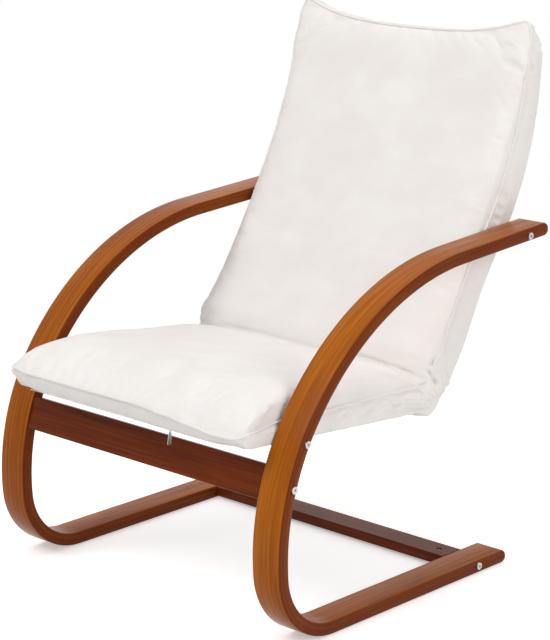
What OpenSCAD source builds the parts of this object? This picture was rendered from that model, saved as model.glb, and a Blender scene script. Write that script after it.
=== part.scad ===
// Cantilever lounge chair.
// Two bent laminated side frames, each one strip that runs along the floor, bends up at the
// front and arches back into the arm, carry an L-shaped inner frame with webbing, foam and a
// zipped fabric cover. Millimetres. +Z is up, the sitter faces -Y, and the origin lies on the
// floor below the middle of the chair's box.

/* [Overall] */
// Width over the two side frames
chair_w = 660; // [600:5:760]

/* [Side frames] */
// Width of the laminated strip
strip_w = 58; // [48:1:70]
// Thickness of the laminated strip
strip_t = 22; // [20:0.5:26]
// Rounding along the strip's four edges
strip_edge_r = 3.5; // [1:0.5:6]
// Rounding of the strip's two ends, seen from the side
strip_end_r = 8; // [2:0.5:9.5]
// Length of the straight floor runner
runner_len = 430; // [360:5:500]
// Outer radius of the front bend
bend_r = 124; // [110:1:140]
// Angle of the front bend, in degrees
bend_angle = 86.4; // [84:0.2:89]
// Outer radius of the upright
upright_r = 377; // [350:1:410]
// Angle that the upright turns through, in degrees
upright_angle = 38.8; // [36:0.2:41]
// Outer radius of the arch from the upright to the arm
arch_r = 485; // [450:1:520]
// Angle of the arch, in degrees
arch_angle = 51.4; // [49:0.2:53]
// Length of the arm's straight rear end
arm_len = 219; // [190:1:250]
// Depth of the bolts below the strip's outer face, as a share of its thickness
bolt_depth_share = 0.58; // [0.5:0.01:0.6]

/* [Rails between the side frames] */
// Thickness of both rails
rail_t = 18; // [15:0.5:20]
// Height of the front rail along the upright
front_rail_h = 55; // [50:1:65]
// Width of the floor rail
floor_rail_w = 48; // [44:1:60]
// Rounding along the rails' long edges
rail_edge_r = 2; // [0.5:0.5:4]
// Distance of the front rail's bolt up the strip from the end of the front bend
rail_bolt_up = 146; // [130:1:155]
// Distance of the seat's bolt up the strip from the end of the front bend
seat_bolt_up = 218; // [205:1:225]
// Distance of the floor rail's bolt from the runner's rear end
floor_bolt_in = 73; // [60:1:90]
// Distance of the arm's bolt from the arm's rear end
arm_bolt_in = 50; // [35:1:70]

/* [Inner frame] */
// Thickness of the inner frame's laminated strip
inner_t = 18; // [15:0.5:22]
// Width of the inner frame's laminated strip
inner_w = 35; // [30:1:45]
// Rounding along the inner strip's edges
inner_edge_r = 3; // [1:0.5:5]
// Slope of the seat down to the rear, in degrees
seat_tilt = 4.5; // [3:0.5:8]
// Lean of the back from upright, in degrees
back_lean = 34.5; // [32:0.5:37]
// Radius of the inner strip's middle at the corner between seat and back
corner_r = 50; // [40:1:60]
// Length of the seat frame in front of the seat's bolt
seat_reach = 64; // [50:1:80]
// Radius of the head curve above the arm's bolt
head_r = 520; // [450:5:650]
// Angle that the head curve turns through, in degrees
head_angle = 28; // [20:0.5:30]
// Length of the straight end above the head curve
head_len = 52; // [50:1:80]
// Width of the inner frame's cross rails
cross_w = 40; // [30:1:48]
// Distance of the front cross rail behind the seat frame's front end
cross_in = 20; // [16:1:22]

/* [Webbing] */
// Width of a strap
strap_w = 50; // [40:1:60]
// Thickness of a strap
strap_t = 1.5; // [1:0.1:2.5]
// Number of straps across the seat
seat_straps = 5; // [3:1:6]
// Number of straps across the back
back_straps = 6; // [3:1:8]

/* [Cushion] */
// Thickness of the cover fabric
cover_t = 2; // [1.5:0.1:2.5]
// Length of the cushion in front of the seat frame
nose_len = 26; // [22:1:34]
// How far the cushion's lower front edge lies behind the upper one
nose_setback = 14; // [8:1:18]
// Height of the side seam over the seat frame's middle, at the front
seam_front = 24; // [21:1:30]
// Height of the side seam over the seat frame's middle, at the rear
seam_rear = 36; // [32:1:42]
// Greatest rise of the seat's crown over its side seams
seat_crown = 42; // [20:1:46]
// Height of the crease between seat and back over the seat frame's middle
crease_seat = 50; // [48:1:56]
// Height of the crease between seat and back before the back frame's middle
crease_back = 29; // [26:1:34]
// Height of the side seam before the back frame's middle
seam_back = 34; // [30:1:40]
// Height of the top seam before the back frame's middle
seam_top = 12; // [10:1:18]
// Greatest rise of the back's crown over its side seams
back_crown = 26; // [10:1:32]
// Length of the cushion above the back frame, at mid width
top_len = 26; // [20:1:40]
// How far the cushion's two upper corners stand above its top edge
ear_len = 26; // [10:1:34]
// How far the side seams lie in from the cushion's sides
seam_in = 6; // [3:0.5:10]
// How far the cushion's lower front corners are drawn up
corner_draw = 18; // [8:1:19]
// Fill of the cushion's lower rear corner beyond the frame
corner_fill = 6; // [3:0.5:9]

/* [Zip] */
// Distance of the zip behind the seat frame's front end
zip_in = 6; // [4:0.5:8]
// Distance of the closed zip's slider from the middle of the chair
slider_x = 92; // [60:1:140]
// Distance of the zip's other end from the middle of the chair
zip_end_x = 225; // [180:1:230]
// Width of each zip tape under the cover
tape_w = 11.3; // [10:0.1:13]
// Length of the slider
slider_len = 12; // [10:0.5:15]
// Length of the pull below its pin
pull_len = 26; // [20:0.5:32]
// Greatest width of the pull
pull_w = 9; // [7:0.5:11]

/* [Fasteners] */
// Diameter of the bolts
bolt_d = 6; // [5:0.5:7]
// Diameter of the bolt heads
bolt_head_d = 12; // [10:0.5:14]
// Height of the bolt heads
bolt_head_h = 3.5; // [2.5:0.5:5]
// Diameter of the barrel nuts
nut_d = 10; // [9:0.5:12]
// Diameter of the wooden dowels
dowel_d = 8; // [6:0.5:9]
// Reach of a bolt into the end of a rail
bolt_in_rail = 34; // [30:1:40]
// Reach of a bolt into the side of the inner frame
bolt_in_frame = 24; // [22:1:27]

/* [Hidden] */
$fn = 64;

// Colours
wood_color = [0.52, 0.28, 0.07];
plain_wood_color = [0.80, 0.66, 0.47];
dark_wood_color = [0.40, 0.18, 0.05];
cover_color = [0.93, 0.91, 0.88];
foam_color = [0.95, 0.90, 0.70];
webbing_color = [0.25, 0.25, 0.25];
tape_color = [0.88, 0.87, 0.84];
steel_color = [0.75, 0.75, 0.78];

// Clearances
side_gap = 0.3;
frame_gap = 0.3;
wrap_gap = 0.8;
foam_gap = 0.3;
foam_slack = 2.8;
// The straps lie clear of the facets in the inner frame's head curve
strap_gap = 0.4;
bolt_gap = 0.2;
nut_gap = 0.05;
dowel_gap = 0.05;
cover_hole_gap = 0.5;
zip_gap = 0.3;
pin_gap = 0.05;
// One overrun for every cut
over = 1;
// Steps of a bent strip's surface: degrees along a bend, facets at its ends and long edges
bend_step_angle = 4.5;
end_step_count = 3;
edge_step_count = 2;

// Dowels: length in the side frame, in a rail end, and in each half of an inner joint
dowel_in_side = 15;
dowel_in_rail = 25;
dowel_in_inner = 15;
rail_dowel_off = 16;
floor_dowel_off = 14;
inner_dowel_off = 10;

// Bolts and barrel nuts
hex_af_share = 0.4;
hex_depth_share = 0.65;
bolt_tip = 2;
nut_wall = 2;

// Zip
tape_t = 0.8;
chain_t = 2;
chain_w = 2;
chain_half_gap = 0.7;
slit_half = 6;
stop_len = 3;
wing_t = 1;
wing_half = 5;
flange_w = 0.8;
post_w = 0.8;
post_len = 3;
bail_len = 7;
bail_w = 1.6;
pin_d = 1.6;
pin_wall = 0.7;
pull_t = 1.2;
pull_neck_w = 5.4;
pull_eye_d = 3.6;
pull_window = 4.4;
bail_side_gap = 0.3;

// A path lies in the side plane and is [start, segments]. A pose is [y, z, heading], with the
// heading in degrees from +Y towards +Z, and a segment is [length, turn in degrees].
function radius_of(seg) = seg[0] * 180 / (PI * seg[1]);
function advance(p, seg, d) = seg[1] == 0
    ? [p[0] + d * cos(p[2]), p[1] + d * sin(p[2]), p[2]]
    : let (r = radius_of(seg), h = p[2] + seg[1] * d / seg[0])
        [p[0] + r * (sin(h) - sin(p[2])), p[1] - r * (cos(h) - cos(p[2])), h];
function pose(p, segs, d, i = 0) = i == len(segs) - 1 || d <= segs[i][0]
    ? advance(p, segs[i], d)
    : pose(advance(p, segs[i], segs[i][0]), segs, d - segs[i][0], i + 1);
function path_len(segs, upto, i = 0) = i >= upto ? 0 : segs[i][0] + path_len(segs, upto, i + 1);
// The point at height n over the left side of the path, at distance d along it
function off_path(path, d, n) = let (p = pose(path[0], path[1], d))
    [p[0] - n * sin(p[2]), p[1] + n * cos(p[2])];
function arc_len(r, angle) = PI * r * angle / 180;
function dist(a, b) = norm(b - a);

// The side frame's middle line, from the runner's rear end to the arm's rear end
half_t = strip_t / 2;
side_segs = [
    [runner_len, 0],
    [arc_len(bend_r - half_t, bend_angle), -bend_angle],
    [arc_len(upright_r - half_t, upright_angle), -upright_angle],
    [arc_len(arch_r - half_t, arch_angle), -arch_angle],
    [arm_len, 0]];
side_path = [[runner_len, half_t, 180], side_segs];
side_len = path_len(side_segs, len(side_segs));
bend_end = path_len(side_segs, 2);
// The bolts lie this far to the inside of the middle line, which is the path's right
bolt_n = -(bolt_depth_share * strip_t - half_t);

floor_bolt = off_path(side_path, floor_bolt_in, bolt_n);
rail_bolt = off_path(side_path, bend_end + rail_bolt_up, bolt_n);
seat_bolt = off_path(side_path, bend_end + seat_bolt_up, bolt_n);
arm_bolt = off_path(side_path, side_len - arm_bolt_in, bolt_n);
rail_heading = pose(side_path[0], side_segs, bend_end + rail_bolt_up)[2];

// The inner frame's middle line: the seat's line runs through the seat bolts, the back's line
// through the arm bolts, and the corner lies where the two lines meet
back_heading = 90 - back_lean;
seat_dir = [cos(seat_tilt), -sin(seat_tilt)];
seat_up = [sin(seat_tilt), cos(seat_tilt)];
back_up = [-sin(back_heading), cos(back_heading)];
seat_to_corner = (arm_bolt - seat_bolt) * back_up / (seat_dir * back_up);
corner = seat_bolt + seat_to_corner * seat_dir;
corner_turn = back_heading + seat_tilt;
corner_run = corner_r * tan(corner_turn / 2);
seat_len = seat_reach + seat_to_corner - corner_run;
back_len = dist(corner, arm_bolt) - corner_run;
bend_len = arc_len(corner_r, corner_turn);
head_arc = arc_len(head_r, head_angle);
seat_start = seat_bolt - seat_reach * seat_dir;
inner_segs = [[seat_len, 0], [bend_len, corner_turn], [back_len, 0], [head_arc, head_angle],
    [head_len, 0]];
inner_path = [[seat_start[0], seat_start[1], -seat_tilt], inner_segs];
inner_len = path_len(inner_segs, len(inner_segs));
back_from = seat_len + bend_len;
seat_bolt_d = seat_reach;
arm_bolt_d = back_from + back_len;

// Widths
inside_w = chair_w - 2 * strip_w;
cushion_half = inside_w / 2 - side_gap;
inner_out = cushion_half - cover_t - frame_gap;
inner_in = inner_out - inner_w;
half_inner = inner_t / 2;
under_n = -(half_inner + wrap_gap + cover_t);
strap_n = half_inner + strap_gap + strap_t / 2;
foam_n = half_inner + strap_gap + strap_t + foam_gap;

// The crease between the seat and the back, in the side plane
crease_det = seat_up[0] * back_up[1] - seat_up[1] * back_up[0];
crease = corner + (crease_seat * [back_up[1], -back_up[0]]
    + crease_back * [-seat_up[1], seat_up[0]]) / crease_det;
crease_r = 3;

// A cushion ring is [low point, high point, half width, crown, draw, ear, side]: the low point
// lies on the cushion's underside or rear face, the high point at its side seam, and the ring
// stands in the plane through both and the X direction. The ear lifts the ring's ends along the
// path, and the side is how far the ring is wider below its seams: foam is cut straight.
function unit(v) = v / norm(v);
function mix(a, b, k) = a + (b - a) * k;
// The low point may be lifted to a given height for foam, and an inset draws all sides in
function raised(d, n, low, up, low_n) = let (a = cross_heading(d))
    low + up * (low_n - n) / (up * [-sin(a), cos(a)]);
function ring(dl, dh, nl, nh, half, crown, draw, ear, inset, low_n) =
    let (low = off_path(inner_path, dl, nl), high = off_path(inner_path, dh, nh),
        e = unit(high - low), foam = !is_undef(low_n))
    [foam ? raised(dl, nl, low, e, low_n) : low + inset * e, high - inset * e, half - inset, crown,
        foam ? 0 : draw, ear, foam ? 0 : seam_in];
function fan_ring(d, nl, crown, inset, low_n) =
    let (low = off_path(inner_path, d, nl), e = unit(low - crease), foam = !is_undef(low_n))
    [foam ? raised(d, nl, low, -e, low_n) : low - inset * e, crease + (crease_r + inset) * e,
        cushion_half - inset, crown, 0, 0, foam ? 0 : seam_in];

// Nose of the seat cushion, front to rear, as shares: place of the low edge behind its front
// limit, place of the high edge behind its front limit, rise to the seam, crown, draw, tuck
nose_shares = [
    [0, 0, 0.82, 0.03, 1, 1],
    [0.12, 0.14, 0.86, 0.05, 0.5, 0.4],
    [0.3, 0.36, 0.9, 0.2, 0, 0],
    [1, 1, 0.92, 0.8, 0, 0]];
nose_tuck = 7;
nose_run = 20;
seat_shares = [0.07, 0.16, 0.28, 0.42, 0.56, 0.7, 0.82, 0.92, 1];
function seat_seam(k) = mix(nose_shares[3][2] * seam_front, seam_rear, k * k);
// The crown at a share of the way to the rear, as shares of the greatest one
seat_crown_shares = [[0, 0.8], [0.07, 0.9], [0.22, 1], [0.39, 0.94], [0.58, 0.75], [0.8, 0.57],
    [1, 0.42]];
function seat_bulge(k) = seat_crown * lookup(k, seat_crown_shares);
function seat_rings(inset, low_n) = concat(
    [for (k = nose_shares) ring(
        mix(nose_setback - nose_len, nose_run, k[0]) + inset * (1 - k[0]),
        mix(-nose_len, nose_run, k[1]) + inset * (1 - k[1]),
        under_n, seam_front * k[2], cushion_half - nose_tuck * k[5], seat_crown * k[3],
        corner_draw * k[4], 0, inset, low_n)],
    [for (k = seat_shares) let (d = mix(nose_run, seat_len, k)) ring(
        d, d, under_n, seat_seam(k), cushion_half, seat_bulge(k), 0, 0, inset, low_n)],
    [for (k = [0.22, 0.5]) corner_ring(k, inset, low_n)]);
// Fill beyond the frame at share k of the corner's bend
function fill_n(k) = under_n - corner_fill * sin(180 * k);
function corner_ring(k, inset, low_n) =
    fan_ring(seat_len + bend_len * k, fill_n(k), 2 * crease_r, inset, low_n);

// Side seam and crown of the back at distance d up the back frame, and the rings to its top
back_run = inner_len - back_from;
back_shares = [0.055, 0.11, 0.18, 0.27, 0.36, 0.45, 0.54, 0.63, 0.72, 0.8, 0.87, 0.93, 0.975, 1];
function back_seam(k) = k < 0.5 ? mix(crease_back, seam_back, sin(90 * min(1, k / 0.25)))
    : mix(seam_back, seam_top, pow((k - 0.5) / 0.5, 2.2));
back_crown_shares = [[0, 0.2], [0.06, 0.65], [0.2, 0.32], [0.35, 0.43], [0.5, 0.9], [0.6, 1],
    [0.72, 0.9], [0.87, 0.43], [1, 0]];
function back_bulge(k) = back_crown * lookup(k, back_crown_shares);
function back_rings(inset, low_n) = concat(
    [for (k = [0.5, 0.78, 1]) corner_ring(k, inset, low_n)],
    [for (k = back_shares) if (is_undef(low_n) || k < foam_top_share)
        let (d = back_from + mix(0, back_run + top_len - inset, k))
        ring(d, d, under_n, back_seam(k), cushion_half - back_tuck * pow(k, 60),
            back_bulge(k), 0, ear_len * pow(k, 6), inset, low_n)]);
back_tuck = 5;
foam_top_share = 0.95;

// A ring's sides are square to it up to this share of its height, past the frame inside
side_share = 0.62;
// The padding rolls over its seams as a superellipse of this power
roll_power = 8;
// Points across a ring: n shares from -1 to 1, closer together towards the sides
function across(n) = [for (i = [0:n - 1]) sin(-90 + 180 * i / (n - 1))];
function point_at(x, v) = [x, v[0], v[1]];
function ring_points(r, us) =
    let (low = r[0], high = r[1], e = unit(high - low), h = norm(high - low),
        side = [e[1], -e[0]], top_half = r[2] - seam_in, half = top_half + r[6],
        m = low + e * min(h * side_share, inner_t + 4 * wrap_gap + cover_t))
    concat(
        [for (u = us) point_at(u * top_half,
            high + e * r[3] * pow(1 - pow(abs(u), roll_power), 1 / roll_power)
                + side * r[5] * pow(abs(u), 3))],
        [point_at(half, m + side * r[5])],
        [for (i = [len(us) - 1:-1:0]) let (u = us[i]) point_at(u * half,
            low + e * r[4] * pow(abs(u), 8) + side * r[5] * pow(abs(u), 3))],
        [point_at(-half, m + side * r[5])]);
// A closed solid through the rings, with its two ends closed from the high to the low row
module cushion(rings, n) {
    us = across(n);
    skin([for (r = rings) each ring_points(r, us)], 2 * n + 2, concat(
        [for (j = [0:n - 2]) each [[j, j + 1, 2 * n - j], [j + 1, 2 * n - j - 1, 2 * n - j]]],
        [[0, 2 * n, 2 * n + 1], [n - 1, n, n + 1]]));
}

// Placing and general shapes

// Points across a ring of the covers and of the foams
ring_width_count = 15;
// The model's front and rear limits set its origin
front_y = min([for (r = seat_rings(0)) min(r[0][0], r[1][0])]);
rear_y = max([for (r = back_rings(0)) each [for (p = ring_points(r, across(ring_width_count))) p[1]]]);
module placed() translate([0, -(front_y + rear_y) / 2, 0]) children();
// Turns drawings in the side plane, with x as Y, y as Z and z as X
module side_plane() rotate([90, 0, 90]) children();
module both_sides() { children(); mirror([1, 0, 0]) children(); }
module left_side() mirror([1, 0, 0]) children();

// A closed solid through rings of c points that run from the path's left side towards +X. The
// triangles of its first end are given; its other end has the same ones turned round.
module skin(points, c, ends) {
    last = len(points) - c;
    walls = [for (i = [0:c:last - c], j = [0:c - 1]) let (a = i + j, b = i + (j + 1) % c)
        each [[a, a + c, b], [b, a + c, b + c]]];
    polyhedron(points, concat(walls, ends, [for (f = ends) [f[0] + last, f[2] + last, f[1] + last]]));
}
// Places along a bent strip as [distance, share of the thickness]: the two ends are rounded by
// end_r, and each bend is drawn in steps
function end_places(t, end_r) = [for (k = [0:end_step_count]) let (a = 90 * (1 - k / end_step_count))
    [end_r * (1 - sin(a)), 1 - 2 * end_r / t * (1 - cos(a))]];
function bend_places(segs) = [for (i = [0:len(segs) - 1])
    let (n = max(1, ceil(abs(segs[i][1]) / bend_step_angle)))
    each [for (k = [0:n - 1]) if (i + k > 0) [path_len(segs, i) + segs[i][0] * k / n, 1]]];
function strip_places(segs, t, end_r) = let (ends = end_places(t, end_r),
    whole = path_len(segs, len(segs))) concat(ends, bend_places(segs),
    [for (k = [end_step_count:-1:0]) [whole - ends[k][0], ends[k][1]]]);
// Points round a strip's section at height share s, as [height over the path, place across it]
function section_points(t, w, r, s) = [for (i = [0:3], j = [0:edge_step_count])
    let (a = 90 * (i + j / edge_step_count), high = i == 0 || i == 3 ? 1 : -1, side = i < 2 ? 1 : -1)
    [(high * (t / 2 - r) + r * cos(a)) * s, side * (w / 2 - r) + r * sin(a)]];
// A bent strip: t thick, w wide, with its long edges rounded by r
module bent_strip(path, t, w, r, end_r) {
    c = 4 * (edge_step_count + 1);
    skin([for (d = strip_places(path[1], t, end_r), q = section_points(t, w, r, d[1]))
        point_at(q[1], off_path(path, d[0], q[0]))], c, [for (j = [1:c - 2]) [0, j, j + 1]]);
}

// A rail's cross-section, a by b, with true round corners
module section(a, b, r) {
    square([a - 2 * r, b], center = true);
    square([a, b - 2 * r], center = true);
    for (i = [-1, 1], j = [-1, 1]) translate([i * (a / 2 - r), j * (b / 2 - r)]) circle(r);
}
// The children are a section: x is the height over the path, y is the place across it
module follow(path, from, to) {
    for (i = [0:len(path[1]) - 1]) {
        seg = path[1][i];
        seg_from = path_len(path[1], i);
        a = max(from, seg_from);
        b = min(to, seg_from + seg[0]);
        p = pose(path[0], path[1], a);
        if (b > a) side_plane() {
            if (seg[1] == 0) translate([p[0], p[1], 0]) rotate([0, 0, p[2]])
                rotate([90, 0, 90]) linear_extrude(b - a) children();
            else {
                r = radius_of(seg);
                turn = seg[1] * (b - a) / seg[0];
                translate([p[0] - r * sin(p[2]), p[1] + r * cos(p[2]), 0])
                    rotate([0, 0, turn > 0 ? p[2] - 90 : p[2] + 90 + turn])
                    rotate_extrude(angle = abs(turn)) translate([abs(r), 0])
                    mirror([turn > 0 ? 1 : 0, 0]) children();
            }
        }
    }
}
// A round bar along X, from x0 to x1, at point p of the side plane
module bar_x(p, d, x0, x1) translate([x0, p[0], p[1]]) rotate([0, 90, 0])
    cylinder(d = d, h = x1 - x0);
// A round bar in the side plane, centred at x and p and turned by angle a
module bar_in_plane(x, p, a, d, from, to) translate([x, 0, 0]) side_plane()
    translate([p[0], p[1], 0]) rotate([0, 0, a]) translate([from, 0, 0]) rotate([0, 90, 0])
    cylinder(d = d, h = to - from);

// Side frames

front_dowels = [for (k = [-1, 1]) rail_bolt
    + k * rail_dowel_off * [cos(rail_heading), sin(rail_heading)]];
floor_dowels = [for (k = [-1, 1]) floor_bolt + [k * floor_dowel_off, 0]];
side_in = inside_w / 2;
side_out = chair_w / 2;
side_bolts = [floor_bolt, rail_bolt, seat_bolt, arm_bolt];

module side_frame() difference() {
    translate([side_out - strip_w / 2, 0, 0])
        bent_strip(side_path, strip_t, strip_w, strip_edge_r, strip_end_r);
    for (p = side_bolts) bar_x(p, bolt_d + 2 * bolt_gap, side_in - over, side_out + over);
    for (p = concat(front_dowels, floor_dowels))
        bar_x(p, dowel_d + 2 * dowel_gap, side_in - over, side_in + dowel_in_side + dowel_gap);
}
module side_frame_right() color(wood_color) placed() side_frame();
module side_frame_left() color(wood_color) placed() left_side() side_frame();

// Rails between the side frames

rail_nut_x = side_in - bolt_in_rail + bolt_tip + nut_d / 2;
// A rail from frame to frame: h along angle a at point p, with its bolt, nut and dowel holes
module rail(p, a, h, dowels) {
    nut_half = rail_t / 2 - nut_wall + nut_gap;
    difference() {
        translate([-side_in, 0, 0]) side_plane() translate([p[0], p[1], 0]) rotate([0, 0, a])
            linear_extrude(2 * side_in) section(h, rail_t, rail_edge_r);
        both_sides() {
            bar_x(p, bolt_d + 2 * bolt_gap, side_in - bolt_in_rail - bolt_gap, side_in + over);
            for (q = dowels) bar_x(q, dowel_d + 2 * dowel_gap,
                side_in - dowel_in_rail - dowel_gap, side_in + over);
            bar_in_plane(rail_nut_x, p, a - 90, nut_d + 2 * nut_gap, -nut_half, rail_t / 2 + over);
        }
    }
}
module front_rail() color(dark_wood_color) placed()
    rail(rail_bolt, rail_heading, front_rail_h, front_dowels);
module floor_rail() color(dark_wood_color) placed()
    rail(floor_bolt, 180, floor_rail_w, floor_dowels);

// Inner frame

cross_rear_in = 6;
cross_places = [cross_in + cross_w / 2, seat_len - cross_rear_in - cross_w / 2,
    inner_len - head_len / 2];
function cross_heading(d) = pose(inner_path[0], inner_segs, d)[2];
function cross_dowels(d) = [for (k = [-1, 1]) off_path(inner_path, d + k * inner_dowel_off, 0)];
frame_nut_x = inner_out - bolt_in_frame + bolt_tip + nut_d / 2;
module inner_frame() difference() {
    translate([inner_out - inner_w / 2, 0, 0])
        bent_strip(inner_path, inner_t, inner_w, inner_edge_r, inner_edge_r);
    for (d = [seat_bolt_d, arm_bolt_d]) {
        p = off_path(inner_path, d, 0);
        bar_x(p, bolt_d + 2 * bolt_gap, inner_out - bolt_in_frame - bolt_gap, inner_out + over);
        bar_in_plane(frame_nut_x, p, cross_heading(d) - 90, nut_d + 2 * nut_gap,
            -(half_inner - nut_wall + nut_gap), half_inner + over);
    }
    for (d = cross_places, p = cross_dowels(d)) bar_x(p, dowel_d + 2 * dowel_gap,
        inner_in - over, inner_in + dowel_in_inner + dowel_gap);
}
module inner_frame_right() color(plain_wood_color) placed() inner_frame();
module inner_frame_left() color(plain_wood_color) placed() left_side() inner_frame();

module cross_rail(d) difference() {
    follow(inner_path, d - cross_w / 2, d + cross_w / 2) square([inner_t, 2 * inner_in], center = true);
    both_sides() for (p = cross_dowels(d)) bar_x(p, dowel_d + 2 * dowel_gap,
        inner_in - dowel_in_inner - dowel_gap, inner_in + over);
}
module seat_front_rail() color(plain_wood_color) placed() cross_rail(cross_places[0]);
module seat_rear_rail() color(plain_wood_color) placed() cross_rail(cross_places[1]);
module back_top_rail() color(plain_wood_color) placed() cross_rail(cross_places[2]);

// Webbing: straps stapled flat on the inner frame's upper and front faces

strap_half = inner_out - inner_edge_r - frame_gap;
strap_margin = 8;
module webbing(from, to, n) for (i = [0:n - 1]) {
    d = mix(from + strap_margin, to - strap_margin - strap_w, i / (n - 1));
    follow(inner_path, d, d + strap_w) translate([strap_n, 0])
        square([strap_t, 2 * strap_half], center = true);
}
module seat_webbing() color(webbing_color) placed() webbing(0, seat_len, seat_straps);
module back_webbing() color(webbing_color) placed() webbing(back_from, inner_len, back_straps);

// Cushion: foam in a cover that is drawn over the inner frame

// A cover is one skin: rings along its outside and the rings of its inside the other way round,
// so that it is open where the two covers are sewn together in the crease
function turned(list) = [for (i = [len(list) - 1:-1:0]) list[i]];
foam_inset = cover_t + foam_slack;
module seat_foam() color(foam_color) placed() cushion(seat_rings(foam_inset, foam_n), ring_width_count);
module back_foam() color(foam_color) placed() cushion(back_rings(foam_inset, foam_n), ring_width_count);
module bolt_holes(p) both_sides()
    bar_x(p, bolt_d + 2 * cover_hole_gap, inner_in, side_in + over);
module seat_cover() color(cover_color) placed() difference() {
    cushion(concat(seat_rings(0), turned(seat_rings(cover_t))), ring_width_count);
    bolt_holes(seat_bolt);
    at_zip() translate([-zip_end_x - stop_len - over, -slit_half, under_n - over])
        cube([zip_end_x + zip_close_x + 2 * (stop_len + over), 2 * slit_half, cover_t + 2 * over]);
}
module back_cover() color(cover_color) placed() difference() {
    cushion(concat(turned(back_rings(cover_t)), back_rings(0)), ring_width_count);
    bolt_holes(arm_bolt);
}

// Zip along the cushion's underside, behind its lower front edge. In its own frame X runs along
// the zip, Y to the rear along the seat, and Z square to the seat.

zip_point = off_path(inner_path, zip_in, 0);
zip_close_x = slider_x + slider_len / 2 + zip_gap;
chain_z = under_n - tape_t / 2;
chain_out = chain_half_gap + chain_w;
wing_top_z = chain_z + chain_t / 2 + zip_gap;
wing_low_z = chain_z - chain_t / 2 - zip_gap;
eye_r = pin_d / 2 + pin_gap + pin_wall;
pin_z = wing_low_z - wing_t - zip_gap - eye_r;
module at_zip() translate([0, zip_point[0], zip_point[1]]) rotate([-seat_tilt, 0, 0]) children();
module front_and_rear() { children(); mirror([0, 1, 0]) children(); }

module zip_tapes() color(tape_color) placed() at_zip() front_and_rear()
    translate([-zip_end_x - 2 * stop_len, chain_out, under_n - tape_t])
    cube([zip_end_x + zip_close_x + 4 * stop_len, tape_w, tape_t]);
module zip_chain() color(steel_color) placed() at_zip() front_and_rear()
    translate([-zip_end_x, chain_half_gap, chain_z - chain_t / 2])
    cube([zip_end_x + zip_close_x, chain_w, chain_t]);
module zip_stops() color(steel_color) placed() at_zip() for (x = [-zip_end_x - stop_len, zip_close_x])
    translate([x, -chain_out, chain_z - chain_t / 2]) cube([stop_len, 2 * chain_out, chain_t]);

// Half of the slider's cross-section: a wing above or below the tapes, with its turned-in edges
module wing_half_section(z, towards) {
    translate([-wing_half, towards > 0 ? z - wing_t : z]) square([2 * wing_half, wing_t]);
    rim = towards > 0 ? under_n - tape_t - zip_gap - z : z - under_n - zip_gap;
    for (k = [-1, 1]) translate([k > 0 ? wing_half - flange_w : -wing_half, towards > 0 ? z : z - rim])
        square([flange_w, rim]);
}
module zip_slider() color(steel_color) placed() at_zip() translate([slider_x, 0, 0]) {
    difference() {
        union() {
            translate([-slider_len / 2, 0, 0]) rotate([90, 0, 90]) linear_extrude(slider_len) {
                wing_half_section(wing_low_z, 1);
                wing_half_section(wing_top_z, -1);
            }
            translate([slider_len / 2 - post_len, -post_w / 2, wing_low_z])
                cube([post_len, post_w, wing_top_z - wing_low_z]);
            translate([0, bail_w / 2, 0]) rotate([90, 0, 0]) linear_extrude(bail_w) {
                polygon([[-bail_len / 2, wing_low_z - wing_t], [bail_len / 2, wing_low_z - wing_t],
                    [eye_r, pin_z], [-eye_r, pin_z]]);
                translate([0, pin_z]) circle(eye_r);
            }
        }
        translate([0, 0, pin_z]) rotate([90, 0, 0])
            cylinder(d = pin_d + 2 * pin_gap, h = 2 * bail_w, center = true);
    }
}
// The pull hangs on its own top bar, which runs through the slider's bail
module zip_pull() color(steel_color) placed() at_zip() translate([slider_x, 0, pin_z]) {
    rotate([90, 0, 0]) cylinder(d = pin_d, h = pull_neck_w, center = true);
    translate([-pull_t / 2, 0, 0]) rotate([90, 0, 90]) linear_extrude(pull_t) difference() {
        union() {
            translate([-pull_neck_w / 2, -pull_window - pin_d])
                square([pull_neck_w, pull_window + pin_d]);
            polygon([[-pull_neck_w / 2, -pull_window], [pull_neck_w / 2, -pull_window],
                [pull_w / 2, -pull_len + pull_w / 2], [-pull_w / 2, -pull_len + pull_w / 2]]);
            translate([0, -pull_len + pull_w / 2]) circle(pull_w / 2);
        }
        translate([-bail_w / 2 - bail_side_gap, -pull_window])
            square([bail_w + 2 * bail_side_gap, pull_window + pin_d]);
        translate([0, -pull_len + pull_w / 2]) circle(pull_eye_d / 2);
    }
}

// Fasteners

// A bolt from the side frame's outer face in to x, with a hexagon socket in its head
module bolt(p, x) difference() {
    union() {
        bar_x(p, bolt_d, x, side_out + over);
        bar_x(p, bolt_head_d, side_out, side_out + bolt_head_h);
    }
    translate([side_out + bolt_head_h * (1 - hex_depth_share), p[0], p[1]]) rotate([0, 90, 0])
        cylinder(d = bolt_head_d * hex_af_share / cos(30), h = bolt_head_h, $fn = 6);
}
module frame_bolts() {
    for (p = [floor_bolt, rail_bolt]) bolt(p, side_in - bolt_in_rail);
    for (p = [seat_bolt, arm_bolt]) bolt(p, inner_out - bolt_in_frame);
}
module frame_bolts_right() color(steel_color) placed() frame_bolts();
module frame_bolts_left() color(steel_color) placed() left_side() frame_bolts();

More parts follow.
